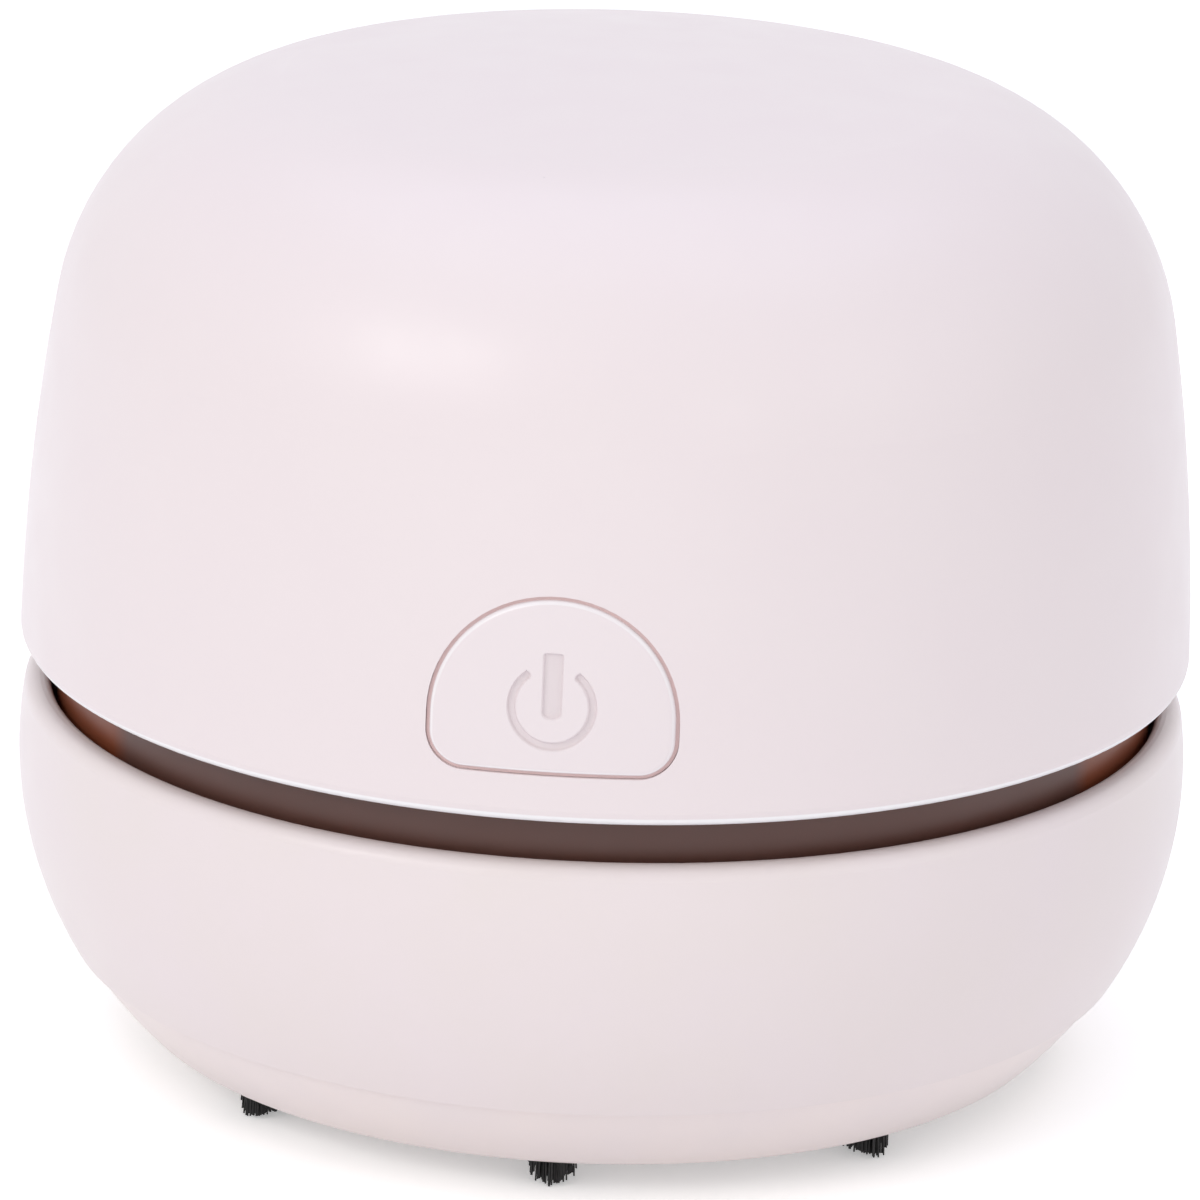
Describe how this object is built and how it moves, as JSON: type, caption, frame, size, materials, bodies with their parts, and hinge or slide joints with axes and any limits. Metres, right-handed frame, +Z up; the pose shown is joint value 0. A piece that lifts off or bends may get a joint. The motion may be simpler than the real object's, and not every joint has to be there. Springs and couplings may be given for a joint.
{
  "type": "desktop vacuum cleaner",
  "caption": "Round palm-sized desktop vacuum cleaner with a domed upper shell, a push power button, a twist-off dust cup and brush tufts around its suction mouth.",
  "frame": {"origin": "centre of the standing circle on the desk, at the tips of the brush tufts", "axes": "+Z up along the axis of the motor and the suction mouth; -Y is the front, where the power button is; +Y is the back, where the charging port is"},
  "size_m": [0.084, 0.0841, 0.0725],
  "materials": {
    "pink_shell": "satin moulded, fine grain",
    "pink_button": "satin moulded, fine grain",
    "smoked_cup": "smoked transparent, polished",
    "white_plastic": "moulded, satin",
    "grey_plastic": "moulded, satin",
    "black_plastic": "moulded, satin",
    "black_bristle": "nylon bristles",
    "black_rubber": "moulded, matt",
    "seal_rubber": "silicone, matt",
    "steel": "zinc plated",
    "contact_metal": "plated, bright",
    "cell_wrap": "shrink sleeve",
    "board_green": "solder mask",
    "chip_black": "moulded",
    "filter_mesh": "fine woven mesh",
    "clear_light": "clear, polished",
    "red_wire": "insulation",
    "black_wire": "insulation",
    "white_wire": "insulation"
  },
  "bodies": {
    "housing": {"upper_shell": "pink_shell", "chassis": "white_plastic", "chassis_screws": "steel", "seal_ring": "seal_rubber", "filter_frame": "grey_plastic", "filter_disc": "filter_mesh", "fan_guard": "grey_plastic", "motor_can": "steel", "motor_end_cap": "black_plastic", "motor_terminals": "contact_metal", "motor_sleeve": "black_rubber", "motor_mount": "white_plastic", "mount_screws": "steel", "motor_clamp": "steel", "clamp_screws": "steel", "battery_cell": "cell_wrap", "battery_holder": "black_plastic", "battery_contacts": "contact_metal", "board_stand": "white_plastic", "charging_board": "board_green", "board_screws": "steel", "usb_socket": "steel", "usb_tongue": "black_plastic", "board_chips": "chip_black", "status_light": "clear_light", "button_spring": "steel", "button_guide": "white_plastic", "switch_body": "black_plastic", "switch_bracket": "white_plastic", "bracket_screw": "steel", "motor_wires": "red_wire", "battery_wires": "black_wire", "switch_wires": "white_wire"},
    "dust_unit": {"lower_shell": "pink_shell", "base_plate": "pink_shell", "base_screws": "steel", "inlet_tube": "smoked_cup", "dust_cup": "smoked_cup", "brush_tuft_1": "black_bristle", "brush_tuft_2": "black_bristle", "brush_tuft_3": "black_bristle", "brush_tuft_4": "black_bristle", "brush_tuft_5": "black_bristle", "brush_tuft_6": "black_bristle", "brush_tuft_7": "black_bristle", "brush_tuft_8": "black_bristle"},
    "fan": {"impeller": "black_plastic", "motor_shaft": "steel"},
    "button": {"power_button": "pink_button"},
    "plunger": {"switch_plunger": "white_plastic"}
  },
  "joints": [
    {"name": "cup_twist", "type": "hinge", "parent": "housing", "child": "dust_unit", "pos_m": [0, 0, 0.028], "axis": [0, 0, 1], "range_deg": [0, 25]},
    {"name": "fan_spin", "type": "hinge", "parent": "housing", "child": "fan", "pos_m": [0, 0, 0.038], "axis": [0, 0, 1], "continuous": true},
    {"name": "button_press", "type": "slide", "parent": "housing", "child": "button", "axis": [0, 1, 0], "range_m": [0, 0.0012], "stiffness_N_per_m": 400, "springref_m": -0.001, "deforming": ["button_spring"]},
    {"name": "plunger_press", "type": "slide", "parent": "housing", "child": "plunger", "axis": [0, 1, 0], "range_m": [0, 0.0012]}
  ],
  "couplings": [
    {"joint": "plunger_press", "follows": "button_press", "ratio": 1}
  ]
}
